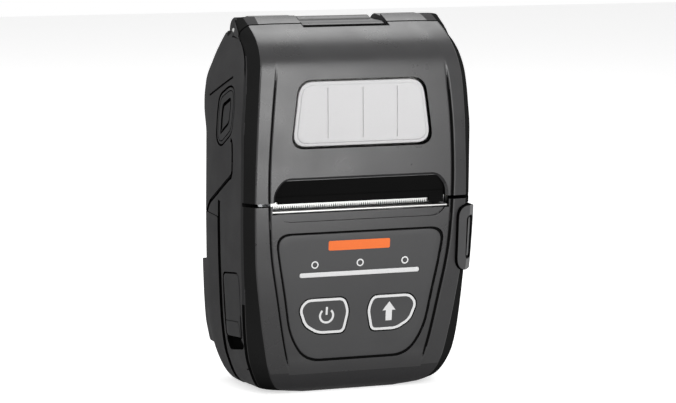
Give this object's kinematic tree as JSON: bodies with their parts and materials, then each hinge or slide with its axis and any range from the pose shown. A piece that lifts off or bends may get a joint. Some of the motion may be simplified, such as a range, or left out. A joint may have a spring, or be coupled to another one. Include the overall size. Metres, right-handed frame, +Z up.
{
  "type": "portable receipt printer",
  "caption": "Pocket receipt printer: chamfered upright body, hinged upper cover with window, paper slot with tear bar, key panel, side release lever, port flap and battery pack.",
  "frame": {"origin": "middle of the flat of the lower end, on which the printer stands upright", "axes": "+Z up towards the cover hinge, +Y to the back and the battery, +X to the right as seen from the key panel"},
  "size_m": [0.0812, 0.0491, 0.1235],
  "materials": {
    "shell": "fine-grained moulded charcoal plastic",
    "panel": "satin membrane overlay",
    "light": "milky light pipe",
    "window": "frosted clear plastic",
    "steel": "bright",
    "dark": "black moulded plastic",
    "rubber": "ground rubber",
    "board": "green circuit board",
    "nylon": "natural nylon",
    "brass": "turned",
    "aluminium": "bent sheet",
    "ceramic": "glazed strip",
    "paper": "smooth thermal paper",
    "card": "wound card",
    "cell": "sleeved prismatic cell"
  },
  "bodies": {
    "root": {"front_case": "shell", "rear_case": "shell", "control_panel": "panel", "light_bar": "light", "paper_edge": "steel", "strap_plug_left": "shell", "strap_plug_right": "shell", "hinge_pin": "steel", "main_board": "board", "board_screw_1": "steel", "board_screw_2": "steel", "board_screw_3": "steel", "board_screw_4": "steel", "power_dome": "steel", "feed_dome": "steel", "charging_socket": "steel", "buzzer": "dark", "mechanism_frame": "aluminium", "idler_axle": "steel", "latch_pin": "steel", "motor": "steel", "bay_wall": "dark", "battery_contacts": "brass", "roll_tray": "dark"},
    "cover": {"cover_shell": "shell", "window_pane": "window", "platen_holder": "dark", "platen_bush_left": "nylon", "platen_bush_right": "nylon", "tear_bar": "steel"},
    "platen": {"platen_shaft": "steel", "platen_rubber": "rubber", "platen_gear": "nylon"},
    "idler": {"idler_gear": "nylon"},
    "rotor": {"motor_pinion": "brass"},
    "head": {"heat_sink": "aluminium", "print_head": "ceramic", "head_spring_left": "steel", "head_spring_right": "steel"},
    "lever": {"release_lever": "shell"},
    "latch": {"latch_hook": "steel"},
    "power_key": {"power_button": "panel"},
    "feed_key": {"feed_button": "panel"},
    "flap": {"port_flap": "shell"},
    "roll": {"paper_roll": "paper", "roll_core": "card"},
    "battery": {"battery_case": "shell", "battery_lid": "dark", "battery_cell_left": "cell", "battery_cell_right": "cell"},
    "battery_catch": {"battery_latch": "dark"}
  },
  "joints": [
    {"name": "cover_hinge", "type": "hinge", "parent": "root", "child": "cover", "pos_m": [0, 0.0085, 0.118], "axis": [-1, 0, 0], "range_deg": [0, 95]},
    {"name": "platen_spin", "type": "hinge", "parent": "cover", "child": "platen", "pos_m": [0, -0.0105, 0.07], "axis": [1, 0, 0], "continuous": true},
    {"name": "idler_spin", "type": "hinge", "parent": "root", "child": "idler", "pos_m": [0, -0.00204, 0.06663], "axis": [1, 0, 0], "continuous": true},
    {"name": "rotor_spin", "type": "hinge", "parent": "root", "child": "rotor", "pos_m": [0, -0.00299, 0.05758], "axis": [1, 0, 0], "continuous": true},
    {"name": "head_tilt", "type": "hinge", "parent": "root", "child": "head", "pos_m": [0, -0.0037, 0.0655], "axis": [-1, 0, 0], "range_deg": [0, 3], "stiffness_Nm_per_rad": 1},
    {"name": "release_press", "type": "hinge", "parent": "root", "child": "lever", "pos_m": [0.0346, -0.0195, 0.0508], "axis": [0, 0, 1], "range_deg": [0, 6], "stiffness_Nm_per_rad": 0.5},
    {"name": "latch_tilt", "type": "hinge", "parent": "root", "child": "latch", "pos_m": [0.0334, -0.0094, 0.0525], "axis": [1, 0, 0], "range_deg": [0, 6]},
    {"name": "power_press", "type": "slide", "parent": "root", "child": "power_key", "axis": [0, 1, 0], "range_m": [0, 0.0006], "stiffness_N_per_m": 800},
    {"name": "feed_press", "type": "slide", "parent": "root", "child": "feed_key", "axis": [0, 1, 0], "range_m": [0, 0.0006], "stiffness_N_per_m": 800},
    {"name": "flap_hinge", "type": "hinge", "parent": "root", "child": "flap", "pos_m": [-0.039, -0.005, 0.04], "axis": [0, 1, 0], "range_deg": [0, 100]},
    {"name": "roll_spin", "type": "hinge", "parent": "root", "child": "roll", "pos_m": [0, 0.0023, 0.0952], "axis": [1, 0, 0], "continuous": true},
    {"name": "battery_slide", "type": "slide", "parent": "root", "child": "battery", "axis": [0, 1, 0], "range_m": [0, 0.022]},
    {"name": "catch_slide", "type": "slide", "parent": "battery", "child": "battery_catch", "axis": [0, 0, -1], "range_m": [0, 0.002], "stiffness_N_per_m": 400}
  ],
  "couplings": [
    {"joint": "idler_spin", "follows": "platen_spin", "ratio": -0.85714},
    {"joint": "rotor_spin", "follows": "platen_spin", "ratio": 1},
    {"joint": "latch_tilt", "follows": "release_press", "ratio": 1}
  ]
}
